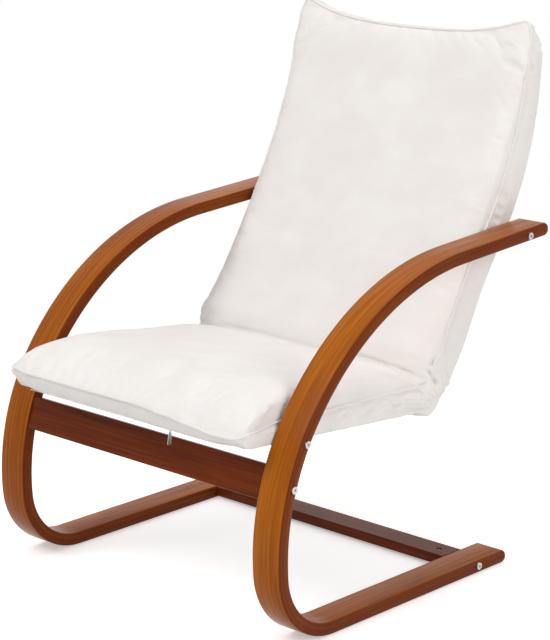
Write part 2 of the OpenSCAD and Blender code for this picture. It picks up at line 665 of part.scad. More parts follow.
module barrel_nut(x, p, a, half) difference() {
    bar_in_plane(x, p, a, nut_d, -half, half);
    bar_x(p, bolt_d + 2 * nut_gap, x - nut_d, x + nut_d);
}
module barrel_nuts() {
    barrel_nut(rail_nut_x, rail_bolt, rail_heading - 90, rail_t / 2 - nut_wall);
    barrel_nut(rail_nut_x, floor_bolt, 90, rail_t / 2 - nut_wall);
    for (d = [seat_bolt_d, arm_bolt_d])
        barrel_nut(frame_nut_x, off_path(inner_path, d, 0), cross_heading(d) - 90,
            half_inner - nut_wall);
}
module barrel_nuts_right() color(steel_color) placed() barrel_nuts();
module barrel_nuts_left() color(steel_color) placed() left_side() barrel_nuts();

module rail_dowels() color(plain_wood_color) placed() both_sides()
    for (p = concat(front_dowels, floor_dowels))
        bar_x(p, dowel_d, side_in - dowel_in_rail, side_in + dowel_in_side);
module inner_dowels() color(plain_wood_color) placed() both_sides()
    for (d = cross_places, p = cross_dowels(d))
        bar_x(p, dowel_d, inner_in - dowel_in_inner, inner_in + dowel_in_inner);

side_frame_left();
side_frame_right();
front_rail();
floor_rail();
inner_frame_left();
inner_frame_right();
seat_front_rail();
seat_rear_rail();
back_top_rail();
seat_webbing();
back_webbing();
seat_foam();
back_foam();
seat_cover();
back_cover();
zip_tapes();
zip_chain();
zip_stops();
zip_slider();
zip_pull();
frame_bolts_left();
frame_bolts_right();
barrel_nuts_left();
barrel_nuts_right();
rail_dowels();
inner_dowels();
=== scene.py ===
# %% [markdown]
# # A cantilever lounge chair
# This file dresses a finished mechanical model of the chair. The model fixes every size and
# place; Blender adds the wood, the sewn cover and the metal, and nothing may leave its place.
# Loading the model gives its parts; whatever else it holds is removed.

# %% Load the frame
import math

import bmesh
import bpy
import numpy as np
from mathutils import Matrix, Vector
from mathutils.bvhtree import BVHTree


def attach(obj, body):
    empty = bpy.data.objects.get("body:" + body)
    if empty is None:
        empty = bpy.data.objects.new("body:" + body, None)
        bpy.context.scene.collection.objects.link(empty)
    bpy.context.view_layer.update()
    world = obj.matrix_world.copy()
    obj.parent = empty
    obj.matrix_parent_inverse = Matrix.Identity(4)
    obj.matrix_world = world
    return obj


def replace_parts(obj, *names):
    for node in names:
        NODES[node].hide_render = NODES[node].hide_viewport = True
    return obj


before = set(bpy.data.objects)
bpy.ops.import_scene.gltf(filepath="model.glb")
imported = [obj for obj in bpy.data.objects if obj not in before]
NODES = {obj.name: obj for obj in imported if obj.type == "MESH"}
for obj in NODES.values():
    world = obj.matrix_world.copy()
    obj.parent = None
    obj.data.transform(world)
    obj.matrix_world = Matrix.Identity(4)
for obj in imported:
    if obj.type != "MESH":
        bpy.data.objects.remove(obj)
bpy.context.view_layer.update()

# %% [markdown]
# ## Lines in the side plane
# Everything bent on this chair follows a line in the side plane: straight runs and arcs with no
# kink between them. A Blender curve only comes near an arc, so the line is worked out exactly: a
# start, a heading, and a list of lengths with the angle that each turns through.

# %% Paths of straight runs and arcs
SHIFT_Y = 0.221813  # from the end of the runner's straight to the middle of the chair


def arc(radius, degrees):
    """Length of an arc: radius times the angle in radians."""
    return radius * math.radians(degrees)


def along_path(path, d):
    """Points, headings and normals at distances d.

    On a straight run the point moves along the heading. On an arc of radius r = length / turn it
    moves by r times the change of the heading's sine and cosine. Past either end the path goes
    on straight.
    """
    (y, z, heading), segments = path
    d = np.asarray(d, float)
    out = np.zeros(d.shape + (3,))
    start, done = (y, z, math.radians(heading)), 0.0
    for i, (length, turn) in enumerate(segments):
        here = d >= done if i else np.ones(d.shape, bool)
        k = d - done
        if turn:
            t = math.radians(turn)
            r = length / t
            h = start[2] + t * np.clip(k / length, 0, 1)
            py = start[0] + r * (np.sin(h) - math.sin(start[2]))
            pz = start[1] - r * (np.cos(h) - math.cos(start[2]))
            extra = np.where(k < 0, k, np.maximum(k - length, 0))
        else:
            h = np.full(d.shape, start[2])
            py, pz, extra = start[0] + 0 * k, start[1] + 0 * k, k
        point = np.stack([py + extra * np.cos(h), pz + extra * np.sin(h), h], -1)
        out[here] = point[here]
        if turn:
            h1 = start[2] + t
            end = (start[0] + r * (math.sin(h1) - math.sin(start[2])),
                   start[1] - r * (math.cos(h1) - math.cos(start[2])), h1)
        else:
            end = (start[0] + length * math.cos(start[2]),
                   start[1] + length * math.sin(start[2]), start[2])
        start, done = end, done + length
    normal = np.stack([-np.sin(out[..., 2]), np.cos(out[..., 2])], -1)
    return out[..., :2], out[..., 2], normal


def off_path(path, d, n):
    """Points at height n over the path's left side, as [y, z]."""
    point, _, normal = along_path(path, d)
    return point + np.asarray(n, float)[..., None] * normal


STRIP_W, STRIP_T = 0.058, 0.022
HALF_T = STRIP_T / 2
SIDE_SEGMENTS = [(0.430, 0), (arc(0.124 - HALF_T, 86.4), -86.4), (arc(0.377 - HALF_T, 38.8), -38.8),
                 (arc(0.485 - HALF_T, 51.4), -51.4), (0.219, 0)]
SIDE_PATH = ((0.430 - SHIFT_Y, HALF_T, 180), SIDE_SEGMENTS)
SIDE_LEN = sum(s[0] for s in SIDE_SEGMENTS)
print("length of a side strip:", round(SIDE_LEN, 3))

# %% [markdown]
# ## Surfaces from arrays
# A surface is a grid of points: a row for each place along it, a column for each place round it.
# Joining neighbours gives its faces. One helper serves the bent wood, the cushion and the seams.


# %% Grid to mesh
def grid_faces(rows, cols, wrap):
    """Quads of a grid: each joins (i, j), (i+1, j), (i+1, j+1) and (i, j+1)."""
    i, j = np.meshgrid(np.arange(rows - 1), np.arange(cols if wrap else cols - 1), indexing="ij")
    a = i * cols + j
    b = i * cols + (j + 1) % cols
    return np.stack([a, b, b + cols, a + cols], -1).reshape(-1, 4)


def linked(name, data):
    """A new object in the scene that holds this mesh, lamp or camera."""
    obj = bpy.data.objects.new(name, data)
    bpy.context.scene.collection.objects.link(obj)
    return obj


def new_mesh(name, points, faces):
    """A mesh object at the origin from an array of points and a list of faces."""
    mesh = bpy.data.meshes.new(name)
    mesh.from_pydata(points.reshape(-1, 3).tolist(), [], [list(map(int, f)) for f in faces])
    mesh.polygons.foreach_set("use_smooth", [True] * len(mesh.polygons))
    mesh.update()
    return linked(name, mesh)


def outward(obj, merge=True):
    """Turns all faces of a closed mesh outwards, after its doubles are merged."""
    bm = bmesh.new()
    bm.from_mesh(obj.data)
    if merge:
        bmesh.ops.remove_doubles(bm, verts=bm.verts, dist=1e-6)
    bmesh.ops.recalc_face_normals(bm, faces=bm.faces)
    bm.to_mesh(obj.data)
    bm.free()


def tube(name, p, radius, sides):
    """A round tube along points: a ring of each point's radius square to the line.

    The ring's first axis is carried along the line, so that the tube doesn't twist.
    """
    ahead = np.roll(p, -1, 0) - np.roll(p, 1, 0)
    ahead[0], ahead[-1] = p[1] - p[0], p[-1] - p[-2]
    t = ahead / np.linalg.norm(ahead, axis=1, keepdims=True)
    u = np.zeros_like(p)
    guess = np.array([0.3, 0.5, 0.81])
    for i in range(len(p)):
        guess = guess - t[i] * (guess @ t[i])
        guess /= np.linalg.norm(guess)
        u[i] = guess
    v = np.cross(t, u)
    a = 2 * np.pi * np.arange(sides) / sides
    ring = np.cos(a)[None, :, None] * u[:, None] + np.sin(a)[None, :, None] * v[:, None]
    grid = p[:, None] + radius[:, None, None] * ring
    faces = grid_faces(len(p), sides, True).tolist()
    faces += [list(range(sides))[::-1], [(len(p) - 1) * sides + j for j in range(sides)]]
    obj = new_mesh(name, grid, faces)
    outward(obj)
    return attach(obj, "chair")


# %% [markdown]
# ## Node materials
# Every finish is made from Blender's own noise and wave textures, so it needs no image and keeps
# its detail at any distance. These helpers only shorten the wiring.


# %% Helpers for materials
class Nodes:
    """A node tree with a short call to add a node and join its inputs."""

    def __init__(self, tree):
        self.tree = tree

    def add(self, kind, inputs=(), **settings):
        """A node of this kind; inputs maps a socket's name or number to a value or an output."""
        node = self.tree.nodes.new(kind)
        for key, value in settings.items():
            setattr(node, key, value)
        for key, value in dict(inputs).items():
            if isinstance(value, bpy.types.NodeSocket):
                self.tree.links.new(value, node.inputs[key])
            else:
                node.inputs[key].default_value = value
        return node


class Finish(Nodes):
    """A material's nodes, with short calls for what the finishes need."""

    def __init__(self, name, **sockets):
        self.material = bpy.data.materials.new(name)
        self.material.use_nodes = True
        super().__init__(self.material.node_tree)
        self.shader = self.tree.nodes["Principled BSDF"]
        for key, value in sockets.items():
            self.shader.inputs[key.replace("_", " ")].default_value = value

    def math(self, operation, a, b=0.0):
        return self.add("ShaderNodeMath", {0: a, 1: b}, operation=operation).outputs[0]

    def total(self, *parts):
        """The sum of value times weight over the parts."""
        out = None
        for value, weight in parts:
            part = self.math("MULTIPLY", value, weight)
            out = part if out is None else self.math("ADD", out, part)
        return out

    def scaled(self, vector, *scale):
        """A vector times one scale, or times one scale for each axis."""
        scale = scale * 3 if len(scale) == 1 else scale
        return self.add("ShaderNodeMapping", {"Vector": vector, "Scale": scale}).outputs[0]

    def noise(self, vector, detail, roughness=0.55):
        return self.add("ShaderNodeTexNoise", {"Vector": vector, "Scale": 1.0, "Detail": detail,
                                               "Roughness": roughness}).outputs[0]

    def ramp(self, value, stops):
        """A colour ramp through (place, colour) stops."""
        node = self.add("ShaderNodeValToRGB", {0: value})
        elements = node.color_ramp.elements
        while len(elements) < len(stops):
            elements.new(0.5)
        for element, (place, colour) in zip(elements, stops):
            element.position = place
            element.color = (*colour, 1)
        return node.outputs[0]

    def between(self, value, low, high, to_low=0.0, to_high=1.0):
        """Maps low..high to to_low..to_high smoothly, and holds past the ends."""
        return self.add("ShaderNodeMapRange", {0: value, 1: low, 2: high, 3: to_low, 4: to_high},
                        interpolation_type="SMOOTHSTEP").outputs[0]

    def mix(self, factor, a, b, blend="MIX"):
        a, b = ((*v, 1) if isinstance(v, tuple) else v for v in (a, b))
        return self.add("ShaderNodeMix", {0: factor, 6: a, 7: b}, data_type="RGBA",
                        blend_type=blend).outputs[2]

    def bump(self, height, strength, distance):
        node = self.add("ShaderNodeBump", {"Height": height, "Strength": strength,
                                           "Distance": distance})
        self.colour(node.outputs[0], "Normal")

    def colour(self, output, socket="Base Color"):
        self.tree.links.new(output, self.shader.inputs[socket])

    def coordinates(self, attribute=None):
        if attribute:
            return self.add("ShaderNodeAttribute", attribute_name=attribute).outputs["Vector"]
        return self.add("ShaderNodeTexCoord").outputs["Object"]


def dress(obj, finish):
    """Gives an object one material."""
    obj.data.materials.clear()
    obj.data.materials.append(finish.material)


# %% [markdown]
# ## Stained, lacquered wood
# The strips are glued from thin beech plies and stained a warm mid brown. Real wood is a solid
# pattern, so it is read at the place that each point had in the flat strip before bending, kept
# in the attribute "grain" as (along, across, through) in metres. Fibres are noise stretched
# along the strip. The edge faces show the glue lines and take the stain darker; their colour is
# darker still with painted shade, for the side faces that get less light.

# %% Wood finishes
PLY = 0.00367
EDGE_FACE, OUTER_PLIES = (0.0262, 0.0288), (0.0088, 0.0100)
# the edge colour is the edge faces' darker stain with painted shade in it
EDGE_STAIN_AND_SHADE, GLUE_LINE = (0.115, 0.013, 0.001), (0.035, 0.007, 0.002)


def wood_finish(name, light, mid, dark, attribute=None, plies=False, roughness=0.34):
    """Wood whose fibres run along the first coordinate; colours run from dark to light."""
    f = Finish(name, Roughness=roughness, Specular_IOR_Level=0.06, Coat_Weight=0.30,
               Coat_IOR=1.2, Coat_Roughness=0.16)
    place = f.coordinates(attribute)
    slow = f.noise(f.scaled(place, 1.6, 16, 16), 3.0)
    warped = f.add("ShaderNodeVectorMath", {0: place,
                   1: f.scaled(slow, 0.02, 0.012, 0.006)}, operation="ADD").outputs[0]
    fibre = f.noise(f.scaled(warped, 5, 210, 210), 6.0, 0.62)
    pore = f.noise(f.scaled(warped, 26, 900, 900), 3.0, 0.6)
    blotch = f.noise(f.scaled(place, 5, 9, 9), 2.0)
    tone = f.total((fibre, 0.55), (slow, 0.30), (blotch, 0.15))
    base = f.ramp(tone, [(0.36, dark), (0.50, mid), (0.64, light)])
    flecks = f.between(pore, 0.56, 0.72, 1.0, 0.80)
    base = f.mix(1.0, base, f.add("ShaderNodeCombineColor", {0: flecks, 1: flecks,
                 2: flecks}).outputs[0], "MULTIPLY")
    height = f.total((fibre, 0.6), (pore, 0.4))
    if plies:
        parts = f.add("ShaderNodeSeparateXYZ", {0: place})
        across, through = parts.outputs[1], parts.outputs[2]
        edge = f.between(f.math("ABSOLUTE", across), *EDGE_FACE)
        layer = f.math("DIVIDE", through, PLY)
        line = f.between(f.math("ABSOLUTE", f.math("SUBTRACT", f.math("FRACT",
                         f.math("ADD", layer, 10.5)), 0.5)), 0.03, 0.11, 1.0, 0.0)
        inside = f.between(f.math("ABSOLUTE", through), *OUTER_PLIES, 1.0, 0.0)
        line = f.math("MULTIPLY", line, f.math("MULTIPLY", inside, edge))
        tint = f.add("ShaderNodeTexWhiteNoise", {"W": f.math("FLOOR", layer)},
                     noise_dimensions="1D").outputs[0]
        # painted shade: the edge faces are coloured darker than their stain alone, for the light
        # they lack
        edge_tone = f.math("MULTIPLY", edge, f.between(tint, 0.0, 1.0, 0.66, 0.84))
        base = f.mix(edge_tone, base, EDGE_STAIN_AND_SHADE)
        base = f.mix(f.math("MULTIPLY", line, 0.6), base, GLUE_LINE)
        height = f.math("SUBTRACT", height, f.math("MULTIPLY", line, 0.8))
    f.colour(base)
    f.bump(height, 0.10, 0.0006)
    f.colour(f.between(tone, 0.3, 0.7, roughness + 0.07, roughness - 0.05), "Roughness")
    return f


STRIP_WOOD = wood_finish("stained_strip_wood", (0.45, 0.134, 0.005), (0.30, 0.075, 0.002),
                         (0.17, 0.034, 0.001), "grain", plies=True)
# The rails take the strips' stain, but their colours are about half as bright: painted shade for
# their place low under the seat.
RAIL_WOOD_WITH_SHADE = wood_finish("stained_rail_wood", (0.19, 0.034, 0.003), (0.125, 0.020, 0.002),
                        (0.070, 0.010, 0.001))
BARE_WOOD = wood_finish("bare_birch", (0.74, 0.58, 0.38), (0.68, 0.50, 0.31),
                        (0.58, 0.41, 0.24), roughness=0.62)
print("wood finishes made")

# %% [markdown]
# ## The bent side strips
# Each side is one strip of laminated wood, bent into a runner, an upright and an arm. A curve
# with a bevel would cut its ends square, and the grain couldn't follow the bend. Carrying a
# rounded rectangle along the path gives round ends and the flat strip's own coordinates.


# %% Side strips
def rounded_section(t, w, r, steps):
    """Points round a rectangle t high and w wide with corner radius r, as (n, x)."""
    i = np.repeat(np.arange(4), steps + 1)
    a = np.pi / 2 * (i + np.tile(np.linspace(0, 1, steps + 1), 4))
    high = np.where((i == 0) | (i == 3), 1, -1)
    side = np.where(i < 2, 1, -1)
    return np.stack([high * (t / 2 - r) + r * np.cos(a), side * (w / 2 - r) + r * np.sin(a)], -1)


def bent_strip(name, path, length, t, w, edge_r, end_r, middle_x, step=0.006):
    """A strip swept along a path. Near its ends the thickness shrinks along a quarter circle:
    at distance d from the end the half thickness is t/2 - end_r + sqrt(end_r^2 - (end_r-d)^2)."""
    quarter = np.linspace(0, np.pi / 2, 9)[:-1]
    lead = end_r * (1 - np.cos(quarter))
    middle = np.linspace(end_r, length - end_r, int(length / step))
    d = np.concatenate([lead, middle, length - lead[::-1]])
    near = np.minimum(np.minimum(d, length - d), end_r)
    share = (t / 2 - end_r + np.sqrt(np.maximum(end_r**2 - (end_r - near)**2, 0))) / (t / 2)
    section = rounded_section(t, w, edge_r, 5)
    n = share[:, None] * section[:, 0]
    yz = off_path(path, np.repeat(d[:, None], len(section), 1), n)
    x = np.broadcast_to(section[:, 1], n.shape)
    grid = np.stack([middle_x + x, yz[..., 0], yz[..., 1]], -1)
    cols, last = len(section), (len(d) - 1) * len(section)
    faces = grid_faces(len(d), cols, True).tolist()
    faces += [list(range(cols)), [last + j for j in range(cols)][::-1]]
    obj = new_mesh(name, grid, faces)
    grain = obj.data.attributes.new("grain", "FLOAT_VECTOR", "POINT")
    flat = np.stack([np.repeat(d[:, None], cols, 1) + (0 if middle_x > 0 else 3.7), x, n], -1)
    grain.data.foreach_set("vector", flat.reshape(-1).astype(np.float32))
    outward(obj, merge=False)
    return obj


SIDE_MIDDLE = 0.301
for side, sign in (("left", -1), ("right", 1)):
    strip = bent_strip(f"bent_strip_{side}", SIDE_PATH, SIDE_LEN, STRIP_T, STRIP_W,
                       edge_r=0.0035, end_r=0.008, middle_x=sign * SIDE_MIDDLE)
    dress(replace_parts(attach(strip, "chair"), f"side_frame_{side}"), STRIP_WOOD)
    print(strip.name, len(strip.data.polygons), "faces")

# %% [markdown]
# ## Rails and the hidden inner frame
# The rails and the wood inside the cushion already have their true shape and only get their
# finish. The hidden pieces are dressed too, because someone may take the cushion off.

# %% Dress the rails, dowels and inner frame
# painted shade: the rails' wood is coloured darker for the shade under the seat
for node in ("front_rail", "floor_rail"):
    dress(NODES[node], RAIL_WOOD_WITH_SHADE)
for node in ("seat_front_rail", "seat_rear_rail", "back_top_rail", "rail_dowels", "inner_dowels",
             "inner_frame_left", "inner_frame_right"):
    dress(NODES[node], BARE_WOOD)

# %% [markdown]
# ## Metal and webbing
# Zinc-plated steel and the zip's nickel are one shader with more or less roughness, a little
# uneven and finely scratched. The elastic webbing is black with ribs across it.

# %% Metal and webbing finishes
def metal_finish(name, colour, roughness):
    """Plated metal with a slight patchiness in its gloss."""
    f = Finish(name, Roughness=roughness, Metallic=1.0)
    place = f.coordinates()
    patch = f.noise(f.scaled(place, 220), 3.0)
    f.colour(f.mix(f.between(patch, 0.3, 0.7), colour, tuple(0.86 * c for c in colour)))
    f.colour(f.between(patch, 0.3, 0.7, roughness * 0.8, roughness * 1.25), "Roughness")
    f.bump(f.noise(f.scaled(place, 900, 2600, 900), 2.0), 0.08, 0.0002)
    return f


def webbing_finish():
    """Black elastic webbing: ribs of 2.2 mm with a lighter thread in between."""
    f = Finish("elastic_webbing", Roughness=0.85)
    place = f.coordinates()
    rib = f.add("ShaderNodeTexWave", {"Vector": place, "Scale": 143.0, "Distortion": 0.6},
                bands_direction="X").outputs["Fac"]
    f.colour(f.ramp(rib, [(0.1, (0.012, 0.012, 0.013)), (0.8, (0.045, 0.045, 0.048))]))
    f.bump(rib, 0.4, 0.0008)
    return f


BOLT_METAL = metal_finish("zinc_plated_steel", (0.62, 0.62, 0.64), 0.30)
ZIP_METAL = metal_finish("nickel_plated_zip", (0.62, 0.61, 0.62), 0.38)
WEBBING = webbing_finish()
for finish, nodes in ((BOLT_METAL, "frame_bolts_left frame_bolts_right barrel_nuts_left "
                                   "barrel_nuts_right"),
                      (ZIP_METAL, "zip_chain zip_stops zip_slider zip_pull"),
                      (WEBBING, "seat_webbing back_webbing")):
    for node in nodes.split():
        dress(NODES[node], finish)

# %% [markdown]
# ## Cotton canvas
# The cover is off-white cotton canvas, washed and a little creased. Its weave is a small bump
# made of two crossed sets of threads. Larger, softer noise gives the faint waviness of cloth
# over padding and uneven whiteness.


# %% Canvas finish
def canvas_finish(name, colour, shade):
    """Plain weave: threads across X and along the cushion, 0.9 mm apart, and soft creases."""
    f = Finish(name, Roughness=0.92, Sheen_Weight=0.25, Sheen_Roughness=0.5,
               Specular_IOR_Level=0.25)
    place = f.coordinates()
    wobble = f.noise(f.scaled(place, 60), 2.0)
    turned = f.add("ShaderNodeMapping", {"Vector": place,
                   "Rotation": (math.radians(-27.0), 0, 0)}).outputs[0]
    warp, weft = (f.add("ShaderNodeTexWave", {"Vector": turned, "Scale": 350.0, "Distortion": 1.2,
                        "Detail": 1.0, "Detail Scale": 0.4}, bands_direction=axis).outputs["Fac"]
                  for axis in "XY")
    threads = f.math("MULTIPLY", warp, weft)
    slub = f.noise(f.scaled(turned, 45, 900, 900), 2.0)
    crease = f.noise(f.scaled(place, 16, 22, 22), 5.0, 0.5)
    uneven = f.noise(f.scaled(place, 5), 2.0)
    tone = f.total((uneven, 0.6), (crease, 0.4))
    base = f.mix(f.between(tone, 0.35, 0.65), colour, shade)
    base = f.mix(f.between(threads, 0.0, 0.5, 0.10, 0.0), base, tuple(0.8 * c for c in shade))
    f.colour(base)
    height = f.total((threads, 0.10), (slub, 0.06), (crease, 1.2), (wobble, 0.12))
    f.bump(height, 0.32, 0.004)
    return f


CANVAS = canvas_finish("cotton_canvas", (0.84, 0.812, 0.788), (0.79, 0.757, 0.733))
WELT = canvas_finish("canvas_seam", (0.82, 0.79, 0.765), (0.76, 0.725, 0.70))
TAPE = canvas_finish("zip_tape_weave", (0.78, 0.76, 0.72), (0.72, 0.70, 0.66))
dress(NODES["zip_tapes"], TAPE)

# %% [markdown]
# ## The cushion's shape
# The cushion is one long padded cover: the seat, a sewn crease, and the back with its curved
# head. Rather than a sculpted box it starts as rings along the inner frame's line, each from the
# underside up to the side seams with a crown between them, so that its seams are known lines.

# %% Rings of the cushion
INNER_SEGMENTS = [(0.398426, 0), (arc(0.050, 60), 60), (0.289854, 0), (arc(0.520, 28), 28),
                  (0.052, 0)]
INNER_PATH = ((-0.125055 - SHIFT_Y, 0.329921, -4.5), INNER_SEGMENTS)
INNER_LEN = sum(s[0] for s in INNER_SEGMENTS)
SEAT_LEN, CORNER_LEN = INNER_SEGMENTS[0][0], INNER_SEGMENTS[1][0]
BACK_FROM = SEAT_LEN + CORNER_LEN
CREASE = np.array([0.300240 - SHIFT_Y, 0.346604])
CREASE_R = 0.003
CUSHION_HALF, SEAM_IN = 0.2717, 0.006
SEAT_BELOW, HEAD_ABOVE = 0.42, 0.6  # heights that part the seat and the head from the rest
UNDER_N = -0.0118
FRAME_RISE = 0.0232
NOSE_LEN, NOSE_LEAN, NOSE_RUN = 0.026, 0.014, 0.020
TOP_LEN, EAR_LEN = 0.026, 0.037
SEAT_CROWN, BACK_CROWN = 0.042, 0.026
# At each place of the nose: low place, high place, rise, crown, draw and tuck, as shares
NOSE_T = [0, 0.12, 0.3, 0.55, 1]
NOSE = [[0, 0.12, 0.3, 0.55, 1], [0, 0.14, 0.36, 0.6, 1], [0.76, 0.82, 0.89, 0.91, 0.92],
        [0.03, 0.05, 0.22, 0.50, 0.80], [1, 0.5, 0, 0, 0], [1, 0.4, 0, 0, 0]]
# How the crown swells along the seat and along the back, as places and shares of the greatest
SEAT_SWELL = ([0, 0.07, 0.22, 0.39, 0.58, 0.8, 0.93, 1],
              [0.8, 0.9, 1, 0.94, 0.75, 0.55, 0.42, 0.26])
BACK_SWELL = ([0, 0.013, 0.03, 0.06, 0.12, 0.2, 0.35, 0.5, 0.6, 0.72, 0.87, 1],
              [0.5, 0.65, 0.78, 0.85, 0.60, 0.40, 0.43, 0.9, 1, 0.9, 0.43, 0])
ROLL_POWER = 8
DRAW_LEFT, DRAW_RIGHT = 1.35, 0.6
SEAM_SINK, EDGE_LIFT, TIP_LIFT = 0.014, 0.007, 0.005
DIP, DIP_FROM = np.array([0.004, -0.009]), (0.215, 0.266)
ACROSS = 61  # points of the top from side to side


def mix(a, b, k):
    return a + (b - a) * k


def cushion_rings(inset):
    """Rings as columns: low point, high point, half width, crown, corner draw, ear, path place.

    Along the seat the side seam rises with the square of the way, from 22 to 36 mm; in the corner
    the rings fan round the crease; along the back the seam falls off as a power towards the top.
    """
    rows = []

    def add(dl, dh, nl, nh, half, crown, draw, ear):
        low, high = off_path(INNER_PATH, dl, nl), off_path(INNER_PATH, dh, nh)
        e = (high - low) / np.linalg.norm(high - low)
        rows.append((*(low + inset * e), *(high - inset * e), half - inset, crown, draw, ear, dh))

    for t in np.linspace(0, 1, 18)[:-1] ** 1.3:
        place_l, place_h, rise, crown, draw, tuck = (np.interp(t, NOSE_T, row) for row in NOSE)
        add(mix(NOSE_LEAN - NOSE_LEN, NOSE_RUN, place_l) + inset * (1 - place_l),
            mix(-NOSE_LEN, NOSE_RUN, place_h) + inset * (1 - place_h), UNDER_N, 0.024 * rise,
            CUSHION_HALF - 0.004 * tuck, SEAT_CROWN * crown, 0.018 * draw, 0)
    for k in np.linspace(0.0, 1, 44):
        d = mix(NOSE_RUN, SEAT_LEN, k)
        add(d, d, UNDER_N, mix(0.022, 0.036, k * k), CUSHION_HALF,
            SEAT_CROWN * np.interp(k, *SEAT_SWELL), 0, 0)
    for k in np.linspace(0, 1, 12)[1:]:
        low = off_path(INNER_PATH, SEAT_LEN + CORNER_LEN * k,
                       UNDER_N - 0.015 * math.sin(math.pi * k) ** 1.5)
        e = (low - CREASE) / np.linalg.norm(low - CREASE)
        rows.append((*(low - inset * e), *(CREASE + (CREASE_R + inset) * e),
                     CUSHION_HALF - inset, -0.004, 0, 0, SEAT_LEN + CORNER_LEN * k))
    run = INNER_LEN - BACK_FROM + TOP_LEN - inset
    for k in np.linspace(0, 1, 76)[1:]:
        d = BACK_FROM + run * k
        if k < 0.5:
            seam = mix(0.029, 0.034, math.sin(math.pi / 2 * min(1, k / 0.25)))
        else:
            seam = mix(0.034, 0.012, ((k - 0.5) / 0.5) ** 2.2)
        add(d, d, UNDER_N, seam, CUSHION_HALF - 0.005 * k ** 60,
            BACK_CROWN * np.interp(k, *BACK_SWELL), 0, EAR_LEN * k ** 8)
    return np.array(rows)


FRONT_Y = off_path(INNER_PATH, np.array(-NOSE_LEN), np.array(0.010))[0]
TOP_YZ, TOP_HEADING, _ = along_path(INNER_PATH, np.array(INNER_LEN + TOP_LEN))
TOP_AXIS = np.array([math.cos(TOP_HEADING), math.sin(TOP_HEADING)])


def square_to_disc(a, b, radius):
    """Moves of a corner that is rounded: a square of side R is mapped to a quarter disc.

    With a and b the shares of R from the square's inner corner, a becomes a sqrt(1 - b^2 / 2)
    and b becomes b sqrt(1 - a^2 / 2).
    """
    near = (a > 0) & (b > 0)
    a, b = np.clip(a, 0, 1.1), np.clip(b, 0, 1.1)
    return (np.where(near, radius * a * (np.sqrt(1 - b * b / 2) - 1), 0),
            np.where(near, radius * b * (np.sqrt(1 - a * a / 2) - 1), 0))


def rounded_corners(grid):
    """Rounds the seat's front corners in plan and the back's upper corners in its own plane.

    The rear panel's upper corners are rounder than the front panel's, and both bend backwards.
    """
    out = grid.copy()

    def rounded(sign, radius, b):
        a = (sign * grid[..., 0] - (CUSHION_HALF - radius)) / radius
        dx, db = square_to_disc(a, b, radius)
        out[..., 0] += sign * dx
        return a, db

    for sign, radius in ((1, 0.034), (-1, 0.012)):
        b = np.where(grid[..., 2] < SEAT_BELOW, 1 - (grid[..., 1] - FRONT_Y) / radius, 0)
        out[..., 1] -= rounded(sign, radius, b)[1]
    under = np.zeros(grid.shape[1])
    under[ACROSS:] = 1
    for sign, front, rear, curl in ((1, 0.054, 0.078, 0.008), (-1, 0.030, 0.038, 0.003)):
        radius = mix(front, rear, under)
        up = (grid[..., 1:] - TOP_YZ) @ TOP_AXIS
        b = np.where(grid[..., 2] > HEAD_ABOVE, 1 + (up - EAR_LEN) / radius, 0)
        a, db = rounded(sign, radius, b)
        out[..., 1:] += db[..., None] * TOP_AXIS
        bent = curl * np.clip(a, 0, 1) * np.clip(b, 0, 1)
        out[..., 1:] -= bent[..., None] * np.array([-TOP_AXIS[1], TOP_AXIS[0]])
    return out


def smooth_step(x, low, high):
    """0 below low, 1 past high, and t^2 (3 - 2t) between."""
    t = np.clip((x - low) / (high - low), 0, 1)
    return t * t * (3 - 2 * t)


def sagging_front(grid):
    """The seat's front edge as photographed: the upper seam sinks towards the near corner, the
    lower edge rises in a long wave left of the zip's pull, and the far corner's tip is lifted."""
    out = grid.copy()
    x, behind = grid[..., 0], grid[..., 1] - FRONT_Y
    seat = grid[..., 2] < SEAT_BELOW
    upper = np.zeros(grid.shape[1], bool)
    upper[:ACROSS] = True
    near_side = smooth_step(np.abs(x), 0.20, 0.26)
    sink = SEAM_SINK * smooth_step(x, 0.03, 0.23) * (1 - smooth_step(behind, 0.004,
                                                                   mix(0.045, 0.10, near_side)))
    lift = EDGE_LIFT * smooth_step(x, -0.24, -0.15) * (1 - smooth_step(x, 0.02, 0.09)) \
        * (1 - smooth_step(behind, 0.004, 0.016))
    tip = TIP_LIFT * smooth_step(-x, 0.20, 0.27) * (1 - smooth_step(behind, 0.004, 0.06))
    out[..., 2] += seat * (np.where(upper, -sink, lift) + tip)
    return out


def dipped_corner(grid):
    """Lets the seams dip where seat and back meet at the near side, by exp(-(r / 45 mm)^2)."""
    out = grid.copy()
    r = np.linalg.norm(grid[..., 1:] - CREASE, axis=-1)
    dip = np.exp(-(r / 0.045) ** 2) * smooth_step(grid[..., 0], *DIP_FROM)
    dip[:, ACROSS:] = 0
    out[..., 1:] += dip[..., None] * DIP
    return out


